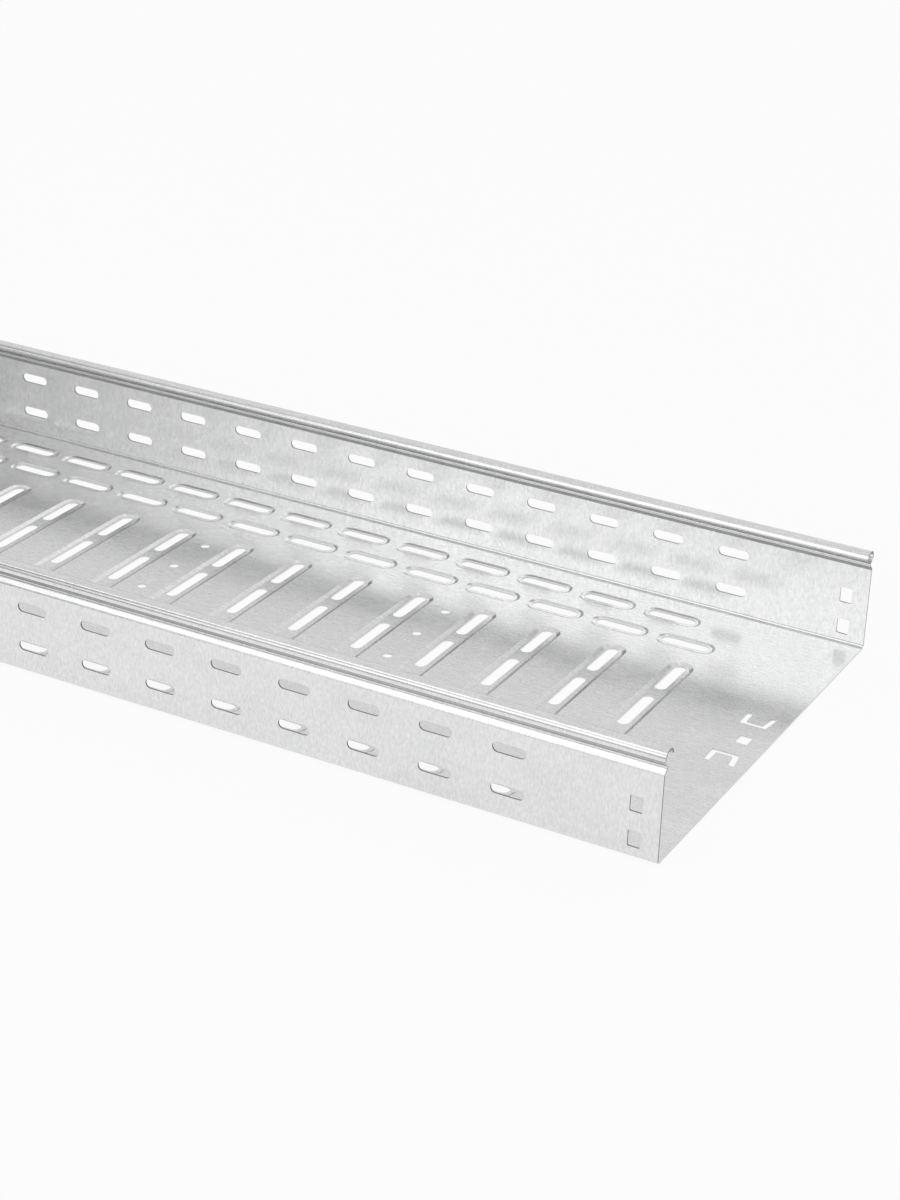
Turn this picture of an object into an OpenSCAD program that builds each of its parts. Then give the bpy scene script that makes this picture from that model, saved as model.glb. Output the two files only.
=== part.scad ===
// Perforated cable tray, roll-formed and punched from one galvanised sheet.
// Millimetres. X runs along the tray, Y across it and Z up from the undersides of the floor ribs.

/* [Tray] */
// Length of the tray as it is sold
tray_length = 2000; // [1000:50:3000]
// Outside width over the two walls
tray_width = 335; // [330:1:600]
// Height of the walls above the underside of the floor
wall_height = 75; // [75:1:110]
// Thickness of the sheet
sheet = 1.2; // [0.8:0.1:1.5]
// Inside radius of the bend between floor and wall
floor_bend_radius = 2; // [1:0.5:5]

/* [Rolled edge] */
// Height of the groove and rim at the top of each wall
edge_height = 15; // [15:0.5:20]
// Depth of the groove that runs along the outside of each wall
groove_depth = 4.3; // [2:0.1:5]
// Rise of the groove's lower face
groove_lower_rise = 4; // [3:0.1:6]
// Rise of the groove's upper face
groove_upper_rise = 4.9; // [4:0.1:6]
// Radius of the groove's creases, at the middle of the sheet
crease_radius = 1.4; // [1:0.1:2]
// Radius of the round rim on top of the wall, at the middle of the sheet
rim_radius = 4.9; // [3:0.1:6]
// Distance from the wall's outside to the corner where rim and lip would meet
rim_width = 9.8; // [9.8:0.1:14]
// Length of the lip that turns down inside the tray, from that corner
lip_length = 4.2; // [4:0.1:8]
// Slope of that lip below level, in degrees
lip_slope = 70; // [50:1:75]

/* [Wall slots] */
// Pitch of all the punched rows
pitch = 50; // [50:1:80]
// Distance from the tray's end to the middle of the first wall slot
slot_start = 100; // [80:1:150]
// Length of a wall slot
wall_slot_length = 23; // [14:0.5:30]
// Height of a wall slot
wall_slot_width = 7; // [5:0.5:9]
// Height of the lower slot row above the underside of the floor
slot_row_low = 19; // [15:0.5:22]
// Height of the upper slot row above the underside of the floor
slot_row_high = 47; // [44:0.5:52]

/* [Floor ribs] */
// Distance from the tray's end to the middle of the first rib
rib_start = 93; // [75:1:140]
// Length of a rib across the floor
rib_length = 156; // [150:1:170]
// Width of a rib
rib_width = 18.5; // [17:0.5:23]
// Depth that a rib is pressed down
rib_depth = 1.3; // [1:0.1:2.5]
// Width of the slope round a rib
rib_slope = 2.8; // [1.5:0.1:4]
// Width of the slots in a rib
rib_slot_width = 8.5; // [6:0.5:10]
// Length of the middle slot of a rib
rib_mid_slot = 46; // [30:1:48]
// Length of the two outer slots of a rib
rib_side_slot = 39; // [25:1:40]
// Distance from the tray's centreline to the middle of an outer slot
rib_side_slot_y = 53.5; // [51:0.5:56]

/* [Floor rows] */
// Distance from the outside of the wall to the outer row of floor slots
outer_row_inset = 29.5; // [26:0.5:32]
// Distance from the outside of the wall to the inner row of floor slots
inner_row_inset = 62; // [56:0.5:67]
// Length of a pressed row dish
dish_length = 43; // [40:0.5:45]
// Width of a pressed row dish
dish_width = 17.5; // [15:0.5:20]
// Depth that a row dish is pressed down
dish_depth = 0.7; // [0.5:0.1:0.9]
// Width of the slope round a row dish
dish_slope = 2; // [1:0.1:3]
// Length of the slot in a row dish
row_slot_length = 35; // [28:0.5:36]
// Width of the slot in a row dish
row_slot_width = 9.5; // [6:0.5:10]
// Diameter of the small round holes
round_hole = 7; // [5:0.5:11]
// Distance between the small round holes across the floor
round_hole_step = 40; // [20:1:44]
// Number of rib gaps from one set of round holes to the next
round_hole_every = 4; // [2:1:8]

/* [Coupling holes] */
// Length of the rectangular holes along the tray
coupling_hole_length = 8.5; // [6:0.5:10]
// Height of the rectangular wall holes, and width of the one in the floor
coupling_hole_height = 11; // [7:0.5:12]
// Radius of their corners
coupling_corner = 1; // [0.5:0.1:2]
// Distance from the tray's end to the middle of the wall holes
coupling_wall_x = 16; // [12:0.5:25]
// Height of the lower wall hole above the underside of the floor
coupling_low = 13; // [11:0.5:15]
// Height of the upper wall hole above the underside of the floor
coupling_high = 36.5; // [30:0.5:42]
// Distance from the tray's end to the middle of the floor hole
coupling_floor_x = 17; // [14:0.5:25]
// Width of the U-shaped slits beside the floor hole
tab_slit = 4; // [2:0.5:5]
// Distance from the tray's end to the inner edge of those slits
tab_far_x = 29.5; // [26:0.5:40]
// Distance from the tray's end to the outer edge of those slits at their base
tab_near_x = 11; // [8:0.5:14]
// Distance that the slit next to the tray's end runs outwards
tab_lean = 2.5; // [0:0.5:4]
// Distance from the centreline to the base of a slit
tab_base_y = 20.5; // [12:0.5:30]
// Length of a slit's legs
tab_leg = 15.5; // [10:0.5:20]

/* [Hidden] */
$fn = 48;
bend_steps = 6;
over = 1;
over_mouth = sheet / 2;
zinc = [0.78, 0.79, 0.8];
half_length = tray_length / 2;
outer_row_y = tray_width / 2 - outer_row_inset;
inner_row_y = tray_width / 2 - inner_row_inset;
floor_under = rib_depth;
floor_top = floor_under + sheet;
wall_mid = tray_width / 2 - sheet / 2;
rim_mid = floor_under + wall_height - sheet / 2;
groove_start = floor_under + wall_height - edge_height;
groove_apex = groove_start + groove_lower_rise;
groove_end = groove_apex + groove_upper_rise;
rim_bend = min(rim_radius, rim_mid - groove_end - crease_radius * 0.4);
lip_corner = [tray_width / 2 - rim_width, rim_mid];
slot_count = floor((tray_length - 2 * slot_start) / pitch) + 1;
rib_count = floor((tray_length - 2 * rib_start) / pitch) + 1;
slot_places = [for (i = [0:slot_count - 1]) half_length - slot_start - i * pitch];
rib_places = [for (i = [0:rib_count - 1]) half_length - rib_start - i * pitch];
inner_row_places = [for (x = rib_places) x - pitch / 4];
outer_row_places = [for (i = [0:rib_count - 2]) rib_places[i] - pitch * 3 / 4];
round_hole_places = [
    for (i = [round_hole_every - 1:round_hole_every:rib_count - 2]) rib_places[i] - pitch / 2
];

// Middle line of the sheet in the right-hand wall, as [corner, bend radius], from the floor to the lip
wall_corners = [
    [[wall_mid, floor_under + sheet / 2], floor_bend_radius + sheet / 2],
    [[wall_mid, groove_start], crease_radius],
    [[wall_mid - groove_depth, groove_apex], crease_radius],
    [[wall_mid, groove_end], crease_radius],
    [[wall_mid, rim_mid], rim_bend],
    [lip_corner, rim_bend],
    [lip_corner - lip_length * [cos(lip_slope), sin(lip_slope)], 0]
];
left_corners = [
    for (i = [len(wall_corners) - 1:-1:0])
        [[-wall_corners[i][0].x, wall_corners[i][0].y], wall_corners[i][1]]
];
section_corners = concat(left_corners, wall_corners);

function unit(v) = v / norm(v);
function shortest_turn(a) = (a + 540) % 360 - 180;

// Points of the arc of radius r that rounds corner b on the way from a to c
function bend_points(a, b, c, r) =
    let (u = unit(a - b), w = unit(c - b), half = acos(u * w) / 2)
    let (centre = b + unit(u + w) * r / sin(half))
    let (start = b + u * r / tan(half) - centre, stop = b + w * r / tan(half) - centre)
    let (from = atan2(start.y, start.x), turn = shortest_turn(atan2(stop.y, stop.x) - from))
    [for (i = [0:bend_steps]) let (at = from + turn * i / bend_steps) centre + r * [cos(at), sin(at)]];

// The whole middle line with its bends
function rounded_line(corners) =
    let (last = len(corners) - 1)
    concat(
        [corners[0][0]],
        [
            for (i = [1:last - 1])
                each bend_points(corners[i - 1][0], corners[i][0], corners[i + 1][0], corners[i][1])
        ],
        [corners[last][0]]
    );

// A line moved sideways by d, with mitred corners
function moved_line(points, d) = [
    for (i = [0:len(points) - 1])
        let (p = points[i], before = points[max(i - 1, 0)], after = points[min(i + 1, len(points) - 1)])
        let (u = i > 0 ? unit(p - before) : unit(after - p), w = i < len(points) - 1 ? unit(after - p) : u)
        let (side = unit([-u.y - w.y, u.x + w.x]))
        p + side * d / (side * [-u.y, u.x])
];

// Section of the rolled sheet, in Y and Z
module sheet_section() {
    line = rounded_line(section_corners);
    back = moved_line(line, -sheet / 2);
    polygon(concat(moved_line(line, sheet / 2), [for (i = [len(back) - 1:-1:0]) back[i]]));
}

// The bent sheet before it is pressed and punched
module bent_sheet() {
    rotate([90, 0, 90])
        linear_extrude(height = tray_length, center = true)
            sheet_section();
}

// Outline of a slot with round ends, along X
module slot_outline(length, width) {
    square([length - width, width], center = true);
    for (side = [-1, 1])
        translate([side * (length - width) / 2, 0])
            circle(d = width);
}

// Outline of a rectangular hole with round corners
module box_outline(length, width, corner) {
    square([length - 2 * corner, width], center = true);
    square([length, width - 2 * corner], center = true);
    for (a = [-1, 1])
        for (b = [-1, 1])
            translate([a * (length / 2 - corner), b * (width / 2 - corner)])
                circle(r = corner);
}

// Side view of a pressed hollow: its mouth lies at Z 0 and its sides lean in to its floor
module hollow_profile(width, depth, slope) {
    grow = over_mouth * slope / depth;
    polygon([
        [0, -depth],
        [width / 2 - slope, -depth],
        [width / 2 + grow, over_mouth],
        [0, over_mouth]
    ]);
}

// Solid of a pressed hollow with round ends, along X
module hollow(length, width, depth, slope) {
    straight = length - width;
    rotate([90, 0, 90])
        linear_extrude(height = straight, center = true)
            union() {
                hollow_profile(width, depth, slope);
                mirror([1, 0])
                    hollow_profile(width, depth, slope);
            }
    for (side = [0, 180])
        rotate([0, 0, side])
            translate([straight / 2, 0, 0])
                rotate([0, 0, -90])
                    rotate_extrude(angle = 180)
                        hollow_profile(width, depth, slope);
}

// All pressed hollows of the floor. On the underside they are larger by a margin, so the sheet stays even.
module floor_hollows(rib_margin, dish_margin) {
    for (x = rib_places)
        translate([x, 0, 0])
            rotate([0, 0, 90])
                hollow(rib_length + 2 * rib_margin, rib_width + 2 * rib_margin, rib_depth, rib_slope);
    for (side = [-1, 1]) {
        for (x = inner_row_places)
            translate([x, side * inner_row_y, 0])
                hollow(dish_length + 2 * dish_margin, dish_width + 2 * dish_margin, dish_depth, dish_slope);
        for (x = outer_row_places)
            translate([x, side * outer_row_y, 0])
                hollow(dish_length + 2 * dish_margin, dish_width + 2 * dish_margin, dish_depth, dish_slope);
    }
}

// Slots of one rib, across the floor
module rib_slots() {
    rotate(90) {
        slot_outline(rib_mid_slot, rib_slot_width);
        for (side = [-1, 1])
            translate([side * rib_side_slot_y, 0])
                slot_outline(rib_side_slot, rib_slot_width);
    }
}

// U-shaped slit of one coupling tab, with its legs pointing to +Y and the tray's end at X 0
module tab_slit_outline() {
    polygon([
        [-tab_far_x, tab_base_y],
        [-tab_near_x, tab_base_y],
        [-tab_near_x + tab_lean, tab_base_y + tab_leg],
        [-tab_near_x + tab_lean - tab_slit, tab_base_y + tab_leg],
        [-tab_near_x + tab_lean * tab_slit / tab_leg - tab_slit, tab_base_y + tab_slit],
        [-tab_far_x + tab_slit, tab_base_y + tab_slit],
        [-tab_far_x + tab_slit, tab_base_y + tab_leg],
        [-tab_far_x, tab_base_y + tab_leg]
    ]);
}

// Holes in the floor at one end, with the tray's end at X 0
module floor_coupling() {
    translate([-coupling_floor_x, 0])
        box_outline(coupling_hole_length, coupling_hole_height, coupling_corner);
    for (side = [0, 1])
        mirror([0, side])
            tab_slit_outline();
}

// Everything that is punched through the floor
module floor_openings() {
    for (x = rib_places)
        translate([x, 0])
            rib_slots();
    for (side = [-1, 1]) {
        for (x = inner_row_places)
            translate([x, side * inner_row_y])
                slot_outline(row_slot_length, row_slot_width);
        for (x = outer_row_places)
            translate([x, side * outer_row_y])
                slot_outline(row_slot_length, row_slot_width);
    }
    for (x = round_hole_places)
        for (step = [-1.5:1:1.5])
            translate([x, step * round_hole_step])
                circle(d = round_hole);
    for (end = [0, 1])
        mirror([end, 0])
            translate([half_length, 0])
                floor_coupling();
}

// Everything that is punched through both walls, in X and height
module wall_openings() {
    for (x = slot_places)
        for (z = [slot_row_low, slot_row_high])
            translate([x, z])
                slot_outline(wall_slot_length, wall_slot_width);
    for (side = [-1, 1])
        for (z = [coupling_low, coupling_high])
            translate([side * (half_length - coupling_wall_x), z])
                box_outline(coupling_hole_length, coupling_hole_height, coupling_corner);
}

// The tray: bent sheet with its ribs and dishes pressed down and its openings punched
module tray() {
    rib_margin = sheet * tan(atan2(rib_depth, rib_slope) / 2);
    dish_margin = sheet * tan(atan2(dish_depth, dish_slope) / 2);
    color(zinc)
        difference() {
            union() {
                bent_sheet();
                translate([0, 0, floor_under])
                    floor_hollows(rib_margin, dish_margin);
            }
            translate([0, 0, floor_top])
                floor_hollows(0, 0);
            translate([0, 0, -over])
                linear_extrude(height = floor_top + 2 * over)
                    floor_openings();
            translate([0, 0, floor_under])
                rotate([90, 0, 0])
                    linear_extrude(height = tray_width + 2 * over, center = true)
                        wall_openings();
        }
}

tray();
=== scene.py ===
import math

import bpy
import numpy as np
from mathutils import Matrix, Vector
from mathutils.geometry import delaunay_2d_cdt


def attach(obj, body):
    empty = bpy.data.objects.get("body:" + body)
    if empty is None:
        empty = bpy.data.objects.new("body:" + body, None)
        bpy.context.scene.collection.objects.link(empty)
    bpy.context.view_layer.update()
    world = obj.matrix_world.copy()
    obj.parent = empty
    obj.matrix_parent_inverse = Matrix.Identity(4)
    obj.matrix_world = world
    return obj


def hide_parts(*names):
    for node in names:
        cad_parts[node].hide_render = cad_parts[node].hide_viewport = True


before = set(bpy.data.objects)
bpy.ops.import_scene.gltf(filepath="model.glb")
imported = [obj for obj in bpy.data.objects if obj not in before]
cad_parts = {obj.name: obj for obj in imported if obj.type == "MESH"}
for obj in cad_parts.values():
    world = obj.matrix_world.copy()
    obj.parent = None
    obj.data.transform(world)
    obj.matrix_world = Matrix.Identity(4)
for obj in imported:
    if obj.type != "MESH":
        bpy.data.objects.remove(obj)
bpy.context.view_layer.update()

# Sizes of the tray in millimetres, as the solid has them
tray_length = 2000.0
tray_width = 335.0
wall_height = 75.0
sheet = 1.2
floor_bend_radius = 2.0
pitch = 50.0

edge_height = 15.0
groove_depth = 4.3
groove_lower_rise = 4.0
groove_upper_rise = 4.9
crease_radius = 1.4
rim_radius = 4.9
rim_width = 9.8
lip_length = 4.2
lip_slope = math.radians(70)

slot_start = 100.0
wall_slot = (23.0, 7.0)
wall_slot_rows = (19.0, 47.0)

rib_start = 93.0
rib = {"length": 156.0, "width": 18.5, "depth": 1.3, "slope": 2.8, "bend": 0.6, "end_steps": 12}
rib_slots = ((0.0, 46.0), (-53.5, 39.0), (53.5, 39.0))
rib_slot_width = 8.5

dish = {"length": 43.0, "width": 17.5, "depth": 0.7, "slope": 2.0, "bend": 0.55, "end_steps": 10}
row_slot = (35.0, 9.5)
outer_row = tray_width / 2 - 29.5
inner_row = tray_width / 2 - 62.0
round_hole = 7.0
round_hole_step = 40.0
round_hole_every = 4

coupling_hole = (8.5, 11.0)
coupling_corner = 1.0
coupling_wall_x = 16.0
coupling_heights = (13.0, 36.5)
coupling_floor_x = 17.0
tab_slit = 4.0
tab_far_x = 29.5
tab_near_x = 11.0
tab_lean = 2.5
tab_base_y = 20.5
tab_leg = 15.5

# Places of the finishes among the tray's materials, and the tilts that part them; the rim finish is painted
# shade on down-facing faces of the rolled rim, and the cut edges come as a lit copy in the floor and a
# painted-shade copy in the walls
zinc_sheet, lit_copy_edge, painted_shade_edge, rim_painted_shade = range(4)
rim_shade_tilt = 0.3
# floor_tilt parts the cut edges into a lit copy in the floor and a darker painted-shade copy in the walls
floor_tilt = 0.5

# Fineness of the mesh, and the least cosine between two cut edges that are shaded as one curve
bend_step_degrees = 11
round_hole_sides = 16
join_steps_per_mm = 200
curve_limit = 0.75

half_length = tray_length / 2
floor_under = rib["depth"]
floor_mid = floor_under + sheet / 2
wall_mid = tray_width / 2 - sheet / 2
ticks = [half_length - pitch * i for i in range(int(tray_length / pitch) + 1)]


def places(start):
    """X of a feature at every pitch, with the first one as far as start from the +X end."""
    count = int((tray_length - 2 * start) / pitch) + 1
    return [half_length - start - pitch * i for i in range(count)]


slot_places = places(slot_start)
rib_places = places(rib_start)
inner_row_places = [x - pitch / 4 for x in rib_places]
outer_row_places = [x - pitch * 3 / 4 for x in rib_places[:-1]]
round_hole_places = [x - pitch / 2 for x in rib_places[round_hole_every - 1:-1:round_hole_every]]


# Section of the rolled sheet: its middle line with a normal towards the inside

def bend(before, corner, after, radius):
    """Points and inside normals of the arc that rounds one corner."""
    to, away = (corner - before).normalized(), (after - corner).normalized()
    start, stop = math.atan2(to.y, to.x), math.atan2(away.y, away.x)
    turn = (stop - start + math.pi) % (2 * math.pi) - math.pi
    reach = radius * math.tan(abs(turn) / 2)
    steps = max(3, round(abs(math.degrees(turn)) / bend_step_degrees))
    side = math.copysign(1, turn)
    inside = Vector((-math.sin(start), math.cos(start)))
    centre = corner - to * reach + inside * radius * side
    arc = []
    for i in range(steps + 1):
        a = start + turn * i / steps
        normal = Vector((-math.sin(a), math.cos(a)))
        arc.append((centre - normal * radius * side, normal))
    return arc


def section_arcs():
    """The bends of one side of the section, from the floor to the lip, and the lip's tip."""
    top = floor_under + wall_height
    groove = top - edge_height
    rim = top - sheet / 2
    lip_start = Vector((tray_width / 2 - rim_width, rim))
    tip = lip_start - lip_length * Vector((math.cos(lip_slope), math.sin(lip_slope)))
    corners = [
        (Vector((0, floor_mid)), 0),
        (Vector((wall_mid, floor_mid)), floor_bend_radius + sheet / 2),
        (Vector((wall_mid, groove)), crease_radius),
        (Vector((wall_mid - groove_depth, groove + groove_lower_rise)), crease_radius),
        (Vector((wall_mid, groove + groove_lower_rise + groove_upper_rise)), crease_radius),
        (Vector((wall_mid, rim)), rim_radius),
        (lip_start, rim_radius),
        (tip, 0),
    ]
    arcs = []
    for (a, _), (b, radius), (c, _) in zip(corners, corners[1:], corners[2:]):
        arcs.append(bend(a, b, c, radius))
    return arcs, (tip, arcs[-1][-1][1])


# Outlines in the plane of the sheet

def slot_outline(length, width, steps=8):
    """A slot with round ends along the first axis, counter-clockwise, with its outward directions."""
    r, straight = width / 2, (length - width) / 2
    out = []
    for side in (0, 1):
        for i in range(steps + 1):
            a = math.pi * (side - 0.5 + i / steps)
            way = Vector((math.cos(a), math.sin(a)))
            out.append((way * r + Vector((straight * (1 - 2 * side), 0)), way))
    return out


def box_outline(length, width, corner, steps=3):
    """A rectangle with round corners, counter-clockwise."""
    out = []
    for turn, (a, b) in enumerate(((1, 1), (-1, 1), (-1, -1), (1, -1))):
        middle = Vector((a * (length / 2 - corner), b * (width / 2 - corner)))
        for i in range(steps + 1):
            angle = math.pi / 2 * (turn + i / steps)
            out.append(middle + corner * Vector((math.cos(angle), math.sin(angle))))
    return out


def tab_slit_outline():
    """The U-shaped slit of a coupling tab, with its legs towards +Y and the tray's end at X 0."""
    far, near, base, leg = -tab_far_x, -tab_near_x, tab_base_y, tab_base_y + tab_leg
    lean = tab_lean * tab_slit / tab_leg
    return [Vector(p) for p in (
        (far, base), (near, base), (near + tab_lean, leg), (near + tab_lean - tab_slit, leg),
        (near + lean - tab_slit, base + tab_slit), (far + tab_slit, base + tab_slit),
        (far + tab_slit, leg), (far, leg),
    )]


def hollow_rings(form):
    """Rings of a pressed hollow from mouth to floor: inset, drop and tilt of the sheet's middle."""
    tilt = math.atan2(form["depth"], form["slope"])
    r = form["bend"]
    reach = r * math.tan(tilt / 2)
    mouth = -sheet / 2 * math.tan(tilt / 2)
    rings = []
    for part in (0, 0.5, 1):
        a = tilt * part
        rings.append((mouth - reach + r * math.sin(a), r * (1 - math.cos(a)), a))
    for part in (1, 0.5, 0):
        a = tilt * part
        inset = mouth + form["slope"] + reach - r * math.sin(a)
        rings.append((inset, form["depth"] - r * (1 - math.cos(a)), a))
    return rings


class Pattern:
    """A flat piece of the sheet with its punched and pressed outlines, ready to be cut into triangles."""

    def __init__(self):
        self.points, self.lifts, self.edges, self.holes = [], [], [], []

    def loop(self, points, lifts=None):
        first, count = len(self.points), len(points)
        self.points += [Vector(p) for p in points]
        self.lifts += lifts or [(0.0, Vector((0, 0)))] * count
        self.edges += [(first + i, first + (i + 1) % count) for i in range(count)]

    def hole(self, points):
        self.loop(points)
        self.holes.append(np.array([tuple(p) for p in points]))

    def hollow(self, form, centre, across):
        turn = Matrix.Rotation(math.pi / 2 if across else 0, 2)
        for inset, drop, tilt in hollow_rings(form):
            outline = slot_outline(form["length"] - 2 * inset, form["width"] - 2 * inset, form["end_steps"])
            ring = [turn @ p + Vector(centre) for p, _ in outline]
            self.loop(ring, [(-drop, turn @ way * -math.sin(tilt)) for _, way in outline])

    def triangles(self):
        """Triangles outside the holes, as points, lifts and corner numbers."""
        points, _, faces, origin, _, _ = delaunay_2d_cdt(self.points, self.edges, [], 0, 1e-5)
        lifts = [self.lifts[o[0]] if o else (0.0, Vector((0, 0))) for o in origin]
        points = np.array([tuple(p) for p in points])
        faces = np.array([tuple(f) for f in faces])
        middle = points[faces].mean(1)
        keep = np.ones(len(faces), bool)
        for hole in self.holes:
            low, high = hole.min(0), hole.max(0)
            near = np.flatnonzero(((middle > low) & (middle < high)).all(1) & keep)
            keep[near[inside_outline(middle[near], hole)]] = False
        return points, lifts, faces[keep]


def inside_outline(points, outline):
    """Which points lie inside a closed outline."""
    count = np.zeros(len(points), int)
    for a, b in zip(outline, np.roll(outline, -1, 0)):
        spans = (a[1] > points[:, 1]) != (b[1] > points[:, 1])
        with np.errstate(divide="ignore", invalid="ignore"):
            cross = a[0] + (points[:, 1] - a[1]) * (b[0] - a[0]) / (b[1] - a[1])
        count += spans & (points[:, 0] < cross)
    return count % 2 == 1


def moved(points, x, y):
    return [Vector((p[0] + x, p[1] + y)) for p in points]


def plain(outline):
    return [p for p, _ in outline]


def turned(points):
    return [Vector((-p[1], p[0])) for p in points]


def frame_loop(low, high):
    """Border of a flat band, with a point at every pitch along it."""
    return [Vector((x, low)) for x in reversed(ticks)] + [Vector((x, high)) for x in ticks]


def floor_pattern(edge):
    """The flat floor between its two bends."""
    floor = Pattern()
    floor.loop(frame_loop(-edge, edge))
    row = plain(slot_outline(*row_slot))
    for x in rib_places:
        floor.hollow(rib, (x, 0), across=True)
        for y, length in rib_slots:
            floor.hole(moved(turned(plain(slot_outline(length, rib_slot_width))), x, y))
    for side in (-1, 1):
        for y, row_places in ((inner_row, inner_row_places), (outer_row, outer_row_places)):
            for x in row_places:
                floor.hollow(dish, (x, side * y), across=False)
                floor.hole(moved(row, x, side * y))
    turns = [math.tau * i / round_hole_sides for i in range(round_hole_sides)]
    ring = [Vector((math.cos(turn), math.sin(turn))) * round_hole / 2 for turn in turns]
    for x in round_hole_places:
        for step in (-1.5, -0.5, 0.5, 1.5):
            floor.hole(moved(ring, x, step * round_hole_step))
    box = box_outline(*coupling_hole, coupling_corner)
    for end in (-1, 1):
        floor.hole(moved(box, end * (half_length - coupling_floor_x), 0))
        for side in (-1, 1):
            slit = [Vector((end * (half_length + p.x), side * p.y)) for p in tab_slit_outline()]
            floor.hole(slit)
    return floor


def wall_pattern(low, high):
    """The flat part of a wall, in X and height."""
    wall = Pattern()
    wall.loop(frame_loop(low, high))
    slot = plain(slot_outline(*wall_slot))
    for z in wall_slot_rows:
        for x in slot_places:
            wall.hole(moved(slot, x, floor_under + z))
    box = box_outline(*coupling_hole, coupling_corner)
    for z in coupling_heights:
        for end in (-1, 1):
            wall.hole(moved(box, end * (half_length - coupling_wall_x), floor_under + z))
    return wall


class Sheet:
    """The middle surface of the sheet: points, inside normals and faces, with shared points joined."""

    def __init__(self):
        self.places, self.points, self.normals, self.faces = {}, [], [], []

    def point(self, at, normal):
        key = tuple(round(c * join_steps_per_mm) for c in at)
        if key not in self.places:
            self.places[key] = len(self.points)
            self.points.append(tuple(at))
            self.normals.append(tuple(normal))
        return self.places[key]

    def add(self, points, normals, faces, flip):
        ids = [self.point(p, n) for p, n in zip(points, normals)]
        for f in faces:
            ring = [ids[i] for i in f]
            self.faces.append(ring[::-1] if flip else ring)

    def strip(self, line, side):
        """A rolled strip along the whole tray: line gives its points and normals across it."""
        points, normals, faces = [], [], []
        for place, normal in line:
            points += [(x, side * place.x, place.y) for x in ticks]
            normals += [(0, side * normal.x, normal.y)] * len(ticks)
        wide = len(ticks)
        for i in range(len(line) - 1):
            for j in range(wide - 1):
                a = i * wide + j
                faces.append((a, a + wide, a + wide + 1, a + 1))
        self.add(points, normals, faces, side < 0)


def rolled_sheet():
    """Middle surface of the whole tray, pressed, punched and rolled."""
    arcs, tip = section_arcs()
    body = Sheet()
    points, lifts, faces = floor_pattern(arcs[0][0][0].x).triangles()
    places3 = [(p[0], p[1], floor_mid + drop) for p, (drop, _) in zip(points, lifts)]
    normals = [(way.x, way.y, math.sqrt(max(0.0, 1 - way.length_squared))) for _, way in lifts]
    body.add(places3, normals, faces, False)
    points, lifts, faces = wall_pattern(arcs[0][-1][0].y, arcs[1][0][0].y).triangles()
    for side in (-1, 1):
        wall_points = [(p[0], side * wall_mid, p[1]) for p in points]
        body.add(wall_points, [(0, -side, 0)] * len(points), faces, side < 0)
        body.strip(arcs[0], side)
        body.strip([s for arc in arcs[1:] for s in arc] + [tip], side)
    return body


def cut_edges(faces):
    """Edges of the sheet with a face on one side only, in that face's direction."""
    edges = dict.fromkeys((a, b) for ring in faces for a, b in zip(ring, ring[1:] + ring[:1]))
    return [(a, b) for a, b in edges if (b, a) not in edges]


def unit(way):
    return way / np.linalg.norm(way)


def cut_normals(cut, mid, normal):
    """Normals at both ends of each cut edge: shared round the curves of a hole, and its own at a corner."""
    outward = {(a, b): unit(np.cross(mid[b] - mid[a], normal[a] + normal[b])) for a, b in cut}
    after = {a: (a, b) for a, b in cut}
    before = {b: (a, b) for a, b in cut}
    ends = []
    for a, b in cut:
        own = outward[a, b]
        pair = []
        for other in (before.get(a), after.get(b)):
            curved = other and outward[other] @ own > curve_limit
            pair.append(unit(own + outward[other]) if curved else own)
        ends.append(pair)
    return ends


def face_finishes(body, cut, mid, normal):
    """Finish of each face: inside of the sheet, outside of it, then its cut edges; faces of the rolled rim
    that look down get painted shade, and cut edges in the walls a painted-shade copy of the floor's lit one.
    """
    ridge_top = floor_under + wall_height - edge_height + groove_lower_rise
    slope = [normal[ring, 2].mean() for ring in body.faces]
    below = [mid[ring, 2].mean() < ridge_top for ring in body.faces]
    # Painted shade: faces of the rolled rim whose visible side looks down, below the ridge's top on the
    # inside and above it on the outside, get the darker finish
    inside = [up < -rim_shade_tilt and under for up, under in zip(slope, below)]
    outside = [up > rim_shade_tilt and not under for up, under in zip(slope, below)]
    finishes = [rim_painted_shade if gets_painted_shade else zinc_sheet for gets_painted_shade in inside + outside]
    # Painted light on the cut edges: those in the floor get the lit copy, those in the walls the darker
    # painted-shade copy
    return finishes + [lit_copy_edge if normal[a][2] > floor_tilt else painted_shade_edge for a, _ in cut]


def tray_mesh(name):
    """The sheet with its thickness and cut edges, shaded by its own normals."""
    body = rolled_sheet()
    mid, normal = np.array(body.points), np.array(body.normals)
    count = len(mid)
    points = np.concatenate([mid + normal * sheet / 2, mid - normal * sheet / 2]) / 1000
    ways = np.concatenate([normal, -normal])
    faces = body.faces + [[i + count for i in ring[::-1]] for ring in body.faces]
    loop_normals = [ways[i] for ring in faces for i in ring]
    cut = cut_edges(body.faces)
    for (a, b), (start, end) in zip(cut, cut_normals(cut, mid, normal)):
        faces.append([a, a + count, b + count, b])
        loop_normals += [start, start, end, end]
    mesh = bpy.data.meshes.new(name)
    mesh.from_pydata(points.tolist(), [], faces)
    mesh.polygons.foreach_set("use_smooth", np.ones(len(faces), bool))
    mesh.polygons.foreach_set("material_index", face_finishes(body, cut, mid, normal))
    mesh.normals_split_custom_set(np.array(loop_normals).tolist())
    mesh.update()
    return mesh


# Finishes

def node(tree, kind, **values):
    made = tree.nodes.new(kind)
    for key, value in values.items():
        if key in made.inputs:
            made.inputs[key].default_value = value
        else:
            setattr(made, key, value)
    return made


def link(tree, start, end):
    tree.links.new(start, end)


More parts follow.
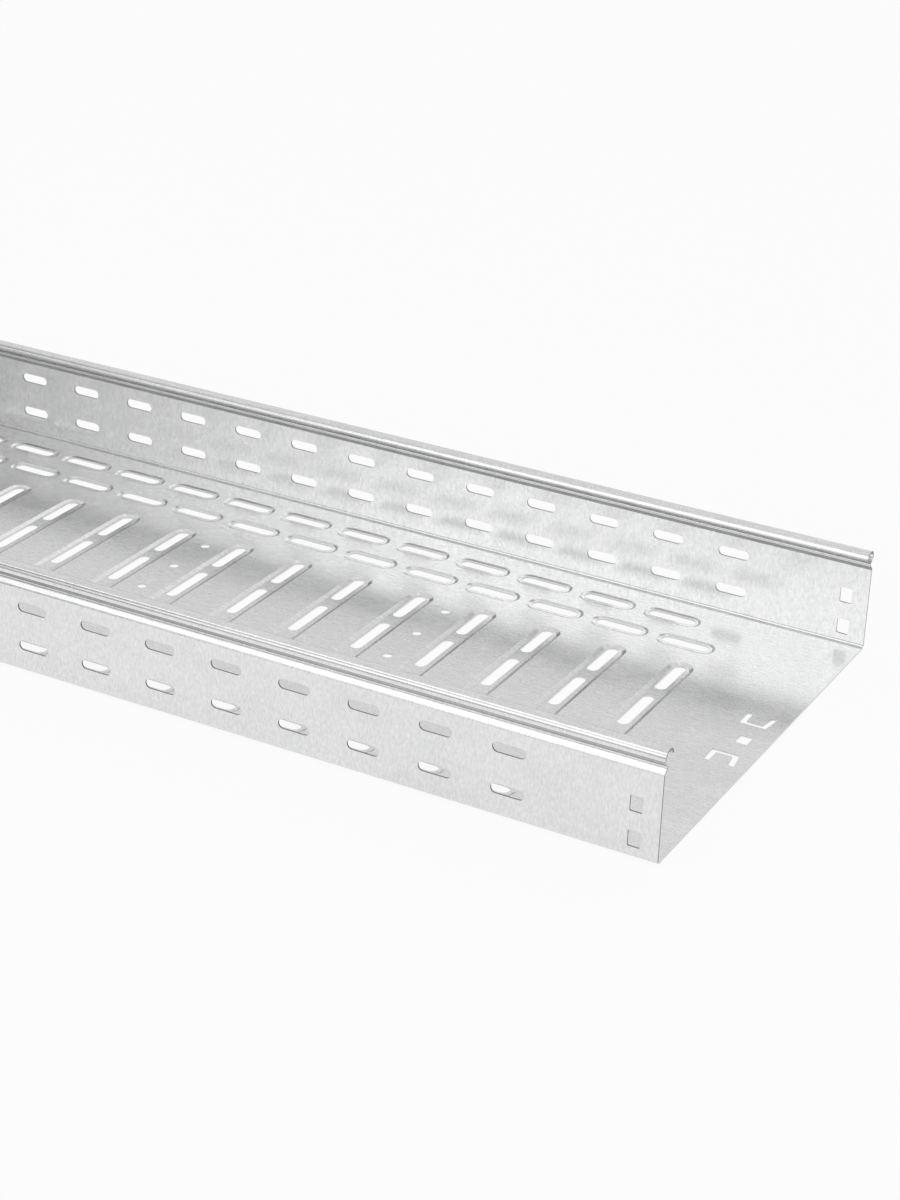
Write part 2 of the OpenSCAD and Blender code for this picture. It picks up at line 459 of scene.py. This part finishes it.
def rolled_zinc():
    """Rolled zinc coat: grain along the level floor, speckle, cloudy mottling and a shallow waviness."""
    group = bpy.data.node_groups.new("rolled zinc", "ShaderNodeTree")
    for name, kind, value in (
        ("Colour", "NodeSocketColor", (0.8, 0.8, 0.8, 1)), ("Roughness", "NodeSocketFloat", 0.22),
        ("Clouds", "NodeSocketFloat", 0.1), ("Grain", "NodeSocketFloat", 0.4),
        ("Grain depth", "NodeSocketFloat", 0.0000015), ("Wave depth", "NodeSocketFloat", 0.0001),
    ):
        group.interface.new_socket(name, in_out="INPUT", socket_type=kind).default_value = value
    for name, kind in (
        ("Colour", "NodeSocketColor"), ("Roughness", "NodeSocketFloat"), ("Height", "NodeSocketFloat"),
    ):
        group.interface.new_socket(name, in_out="OUTPUT", socket_type=kind)
    given = node(group, "NodeGroupInput").outputs
    made = node(group, "NodeGroupOutput").inputs
    surface = node(group, "ShaderNodeTexCoord").outputs
    facing = node(group, "ShaderNodeSeparateXYZ")
    link(group, surface["Normal"], facing.inputs[0])
    level_share = node(group, "ShaderNodeMath", operation="ABSOLUTE")
    link(group, facing.outputs["Z"], level_share.inputs[0])

    def pattern(per_metre, detail, rough):
        """Noise about zero, with its repeats in a metre along X, Y and Z."""
        scaled = node(group, "ShaderNodeMapping")
        scaled.inputs["Scale"].default_value = per_metre
        noise = node(group, "ShaderNodeTexNoise", Scale=1, Detail=detail, Roughness=rough)
        link(group, surface["Object"], scaled.inputs["Vector"])
        link(group, scaled.outputs[0], noise.inputs["Vector"])
        level = node(group, "ShaderNodeMath", operation="SUBTRACT")
        link(group, noise.outputs[0], level.inputs[0])
        level.inputs[1].default_value = 0.5
        return level.outputs[0]

    def sum_of(first, share, second, times=1.0):
        """first times share times a number, added to second where there is one."""
        part = node(group, "ShaderNodeMath", operation="MULTIPLY")
        link(group, first, part.inputs[0])
        link(group, share, part.inputs[1])
        scaled = node(group, "ShaderNodeMath", operation="MULTIPLY_ADD")
        link(group, part.outputs[0], scaled.inputs[0])
        scaled.inputs[1].default_value = times
        if second is None:
            scaled.inputs[2].default_value = 0.0
        else:
            link(group, second, scaled.inputs[2])
        return scaled.outputs[0]

    speckle_tone, cloud_tone, cloud_roughness = 0.95, 1.6, 1.5
    clouds = pattern((22.8, 38, 38), detail=4, rough=0.6)
    grain = sum_of(pattern((110, 750, 20), detail=3, rough=0.6), level_share.outputs[0], None)
    speckle = pattern((650, 700, 300), detail=2, rough=0.6)
    waves = pattern((9.6, 16, 16), detail=1, rough=0.4)
    fine_tone = sum_of(grain, given["Grain"], sum_of(speckle, given["Grain"], None, speckle_tone))
    tone = sum_of(clouds, given["Clouds"], fine_tone, cloud_tone)
    shade = node(group, "ShaderNodeMath", operation="ADD")
    link(group, tone, shade.inputs[0])
    shade.inputs[1].default_value = 1.0
    colour = node(group, "ShaderNodeVectorMath", operation="SCALE")
    link(group, given["Colour"], colour.inputs[0])
    link(group, shade.outputs[0], colour.inputs["Scale"])
    link(group, colour.outputs[0], made["Colour"])
    link(group, sum_of(clouds, given["Clouds"], given["Roughness"], cloud_roughness), made["Roughness"])
    relief = sum_of(grain, given["Grain depth"], sum_of(speckle, given["Grain depth"], None))
    link(group, sum_of(waves, given["Wave depth"], relief), made["Height"])
    return group


def zinc_finish(name, zinc, colour, roughness, **values):
    """A bare zinc surface: mirror-like but cloudy, with its own grain."""
    made = bpy.data.materials.new(name)
    made.use_nodes = True
    tree = made.node_tree
    shader = tree.nodes["Principled BSDF"]
    shader.inputs["Metallic"].default_value = 1.0
    coat = node(tree, "ShaderNodeGroup", node_tree=zinc)
    coat.inputs["Colour"].default_value = (*colour, 1)
    coat.inputs["Roughness"].default_value = roughness
    for key, value in values.items():
        coat.inputs[key.replace("_", " ").capitalize()].default_value = value
    bump = node(tree, "ShaderNodeBump", Strength=1.0, Distance=1.0)
    link(tree, coat.outputs["Colour"], shader.inputs["Base Color"])
    link(tree, coat.outputs["Roughness"], shader.inputs["Roughness"])
    link(tree, coat.outputs["Height"], bump.inputs["Height"])
    link(tree, bump.outputs[0], shader.inputs["Normal"])
    return made


tray = bpy.data.objects.new("perforated_tray", tray_mesh("perforated_tray"))
bpy.context.scene.collection.objects.link(tray)
zinc = rolled_zinc()
cut_zinc = {"clouds": 0.2, "grain": 0.3, "wave_depth": 0.0}
for finish_name, colour, roughness, zinc_values in (
    ("zinc sheet", (0.83, 0.832, 0.835), 0.215, {}),
    # A lit copy and a painted-shade copy of one sheared zinc cut edge: the floor's lit, the walls' darkened
    # as if in shade
    ("cut edge lit copy", (0.7, 0.705, 0.71), 0.3, cut_zinc),
    ("cut edge painted shade", (0.22, 0.222, 0.225), 0.4, cut_zinc),
    # Painted shade for the down-facing faces of the rolled rim
    ("rim painted shade", (0.42, 0.422, 0.425), 0.3, {}),
):
    tray.data.materials.append(zinc_finish(finish_name, zinc, colour, roughness, **zinc_values))
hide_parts("tray")
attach(tray, "root")


# Studio: a white floor, a pale room with a bright window in front, and a strip lamp over the near edge

def seen_white(tree, shown, mirrored):
    """How white the background looks: to the camera's own rays, and to those metal or glass sends on."""
    path = node(tree, "ShaderNodeLightPath")
    onward = node(tree, "ShaderNodeMath", operation="MAXIMUM")
    link(tree, path.outputs["Is Glossy Ray"], onward.inputs[0])
    link(tree, path.outputs["Is Transmission Ray"], onward.inputs[1])
    part = node(tree, "ShaderNodeMath", operation="MULTIPLY")
    link(tree, onward.outputs[0], part.inputs[0])
    part.inputs[1].default_value = mirrored
    whole = node(tree, "ShaderNodeMath", operation="MULTIPLY_ADD")
    link(tree, path.outputs["Is Camera Ray"], whole.inputs[0])
    whole.inputs[1].default_value = shown
    link(tree, part.outputs[0], whole.inputs[2])
    return whole.outputs[0]


def floor_paint(name, shown, mirrored, lit):
    """White floor paint: mostly as bright as the background, with some of its own shading for the shadow."""
    made = bpy.data.materials.new(name)
    made.use_nodes = True
    tree = made.node_tree
    tree.nodes.clear()
    out = node(tree, "ShaderNodeOutputMaterial")
    light = node(tree, "ShaderNodeEmission", Color=(1, 1, 1, 1), Strength=1.0)
    paint = node(tree, "ShaderNodeBsdfDiffuse", Color=(lit, lit, lit, 1))
    share = seen_white(tree, shown, mirrored)
    mix = node(tree, "ShaderNodeMixShader")
    link(tree, share, mix.inputs["Fac"])
    link(tree, paint.outputs[0], mix.inputs[1])
    link(tree, light.outputs[0], mix.inputs[2])
    link(tree, mix.outputs[0], out.inputs["Surface"])
    return made


def room_light(name):
    """Light of the room by direction: pale all round, with a window in front, dark low in front and at the
    left, and a light panel behind."""
    made = bpy.data.materials.new(name)
    made.use_nodes = True
    tree = made.node_tree
    tree.nodes.clear()
    place = node(tree, "ShaderNodeTexCoord").outputs["Object"]
    way = node(tree, "ShaderNodeVectorMath", operation="NORMALIZE")
    link(tree, place, way.inputs[0])
    height = node(tree, "ShaderNodeSeparateXYZ")
    link(tree, way.outputs[0], height.inputs[0])
    flat = node(tree, "ShaderNodeVectorMath", operation="MULTIPLY")
    link(tree, place, flat.inputs[0])
    flat.inputs[1].default_value = (1, 1, 0)
    heading = node(tree, "ShaderNodeVectorMath", operation="NORMALIZE")
    link(tree, flat.outputs[0], heading.inputs[0])
    side = node(tree, "ShaderNodeSeparateXYZ")
    link(tree, heading.outputs[0], side.inputs[0])

    def ramp(value, start, end, low, high):
        made_ramp = node(tree, "ShaderNodeMapRange", interpolation_type="SMOOTHSTEP")
        link(tree, value, made_ramp.inputs["Value"])
        for key, number in (("From Min", start), ("From Max", end), ("To Min", low), ("To Max", high)):
            made_ramp.inputs[key].default_value = number
        return made_ramp.outputs[0]

    def mixed(share, first, second):
        blend = node(tree, "ShaderNodeMix", data_type="FLOAT")
        for start, end in zip((share, first, second), blend.inputs[:1] + blend.inputs[2:4]):
            if isinstance(start, float):
                end.default_value = start
            else:
                link(tree, start, end)
        return blend.outputs[0]

    def product(*values):
        result = values[0]
        for value in values[1:]:
            times = node(tree, "ShaderNodeMath", operation="MULTIPLY")
            link(tree, result, times.inputs[0])
            link(tree, value, times.inputs[1])
            result = times.outputs[0]
        return result

    high, across, along = height.outputs["Z"], side.outputs["X"], side.outputs["Y"]
    pale, above_window, bright, low_front, light_panel, dark_left = 0.765, 1.15, 1.9, 0.48, 1.1, 0.2
    front = ramp(along, -0.25, -0.55, 0.0, 1.0)
    window = product(
        front, ramp(high, 0.28, 0.36, 0.0, 1.0), ramp(high, 0.45, 0.53, 1.0, 0.0),
        ramp(across, -0.48, -0.36, 1.0, 0.65),
    )
    upper = product(front, ramp(high, 0.38, 0.5, 0.0, 1.0), ramp(high, 0.55, 0.78, 1.0, 0.0))
    low = product(front, ramp(high, 0.2, 0.28, 1.0, 0.0))
    panel = product(
        ramp(along, 0.5, 0.8, 0.0, 1.0), ramp(across, -0.28, -0.18, 0.0, 1.0),
        ramp(across, -0.08, 0.02, 1.0, 0.0),
    )
    left = product(
        ramp(across, -0.72, -0.42, 1.0, 0.0), ramp(along, 0.2, -0.2, 0.0, 1.0),
        ramp(high, 0.72, 0.85, 1.0, 0.0),
    )
    level = pale
    for share, strength in (
        (upper, above_window), (window, bright), (low, low_front), (panel, light_panel), (left, dark_left),
    ):
        level = mixed(share, level, strength)
    light = node(tree, "ShaderNodeEmission", Color=(1, 1, 1, 1))
    link(tree, level, light.inputs["Strength"])
    out = node(tree, "ShaderNodeOutputMaterial")
    link(tree, light.outputs[0], out.inputs["Surface"])
    made.cycles.emission_sampling = "NONE"
    return made


def studio_piece(name, points, faces, paint):
    mesh = bpy.data.meshes.new(name)
    mesh.from_pydata(points, [], faces)
    mesh.materials.append(paint)
    piece = bpy.data.objects.new(name, mesh)
    bpy.context.scene.collection.objects.link(piece)
    return piece


def studio_floor():
    reach, sides = 80, 64
    turns = [math.tau * i / sides for i in range(sides)]
    ring = [(reach * math.cos(turn), reach * math.sin(turn), 0) for turn in turns]
    paint = floor_paint("white floor", shown=0.9, mirrored=0.65, lit=0.9)
    studio_piece("studio_floor", ring, [list(range(sides))], paint)


def studio_room():
    """A dome on the floor that lights the tray and shows in its metal, and that the camera looks through."""
    across, up, reach = 48, 12, 20.0
    points = [(0, 0, reach)]
    for j in range(up):
        high = math.pi / 2 * j / up
        radius = reach * math.cos(high)
        for i in range(across):
            turn = math.tau * i / across
            points.append((radius * math.cos(turn), radius * math.sin(turn), reach * math.sin(high)))
    rows = [1 + j * across for j in range(up)]
    faces = []
    for i in range(across):
        after = (i + 1) % across
        faces += [(row + i, row + after, above + after, above + i) for row, above in zip(rows, rows[1:])]
        faces.append((rows[-1] + i, rows[-1] + after, 0))
    room = studio_piece("studio_room", points, faces, room_light("room light"))
    room.visible_camera = False


def soft_lamp(name, place, aim, size, power):
    data = bpy.data.lights.new(name, "AREA")
    data.shape = "RECTANGLE"
    data.size, data.size_y = size
    data.energy = power
    lamp = bpy.data.objects.new(name, data)
    lamp.location = place
    lamp.rotation_euler = (Vector(aim) - Vector(place)).to_track_quat("-Z", "Y").to_euler()
    lamp.visible_camera = False
    bpy.context.scene.collection.objects.link(lamp)


def studio_world():
    world = bpy.data.worlds.new("studio")
    world.use_nodes = True
    world.node_tree.nodes["Background"].inputs["Color"].default_value = (1, 1, 1, 1)
    world.node_tree.nodes["Background"].inputs["Strength"].default_value = 1.0
    bpy.context.scene.world = world


def photo_camera():
    """The photo's view, for an image of 900 by 1200."""
    focal_pixels, long_side = 2623.7, 1200
    place = Vector((1.5066, -1.3875, 0.7992))
    azimuth, elevation, roll = math.radians(-28.049), math.radians(25.636), math.radians(2.133)
    forward = Vector((
        math.sin(azimuth) * math.cos(elevation), math.cos(azimuth) * math.cos(elevation), -math.sin(elevation)
    ))
    level = Vector((math.cos(azimuth), -math.sin(azimuth), 0))
    up = level.cross(forward)
    right = level * math.cos(roll) + up * math.sin(roll)
    upright = -level * math.sin(roll) + up * math.cos(roll)
    data = bpy.data.cameras.new("photo_camera")
    data.sensor_width = 36
    data.lens = focal_pixels / long_side * data.sensor_width
    data.clip_end = 300
    camera = bpy.data.objects.new("photo_camera", data)
    camera.matrix_world = Matrix((
        (right.x, upright.x, -forward.x, place.x),
        (right.y, upright.y, -forward.y, place.y),
        (right.z, upright.z, -forward.z, place.z),
        (0, 0, 0, 1),
    ))
    bpy.context.scene.collection.objects.link(camera)
    bpy.context.scene.camera = camera


studio_floor()
studio_room()
soft_lamp("strip_lamp", place=(0, -0.617, 0.956), aim=(0, -0.163, 0.065), size=(2.6, 0.2), power=1.75)
studio_world()
photo_camera()
bpy.context.scene.view_settings.view_transform = "Standard"
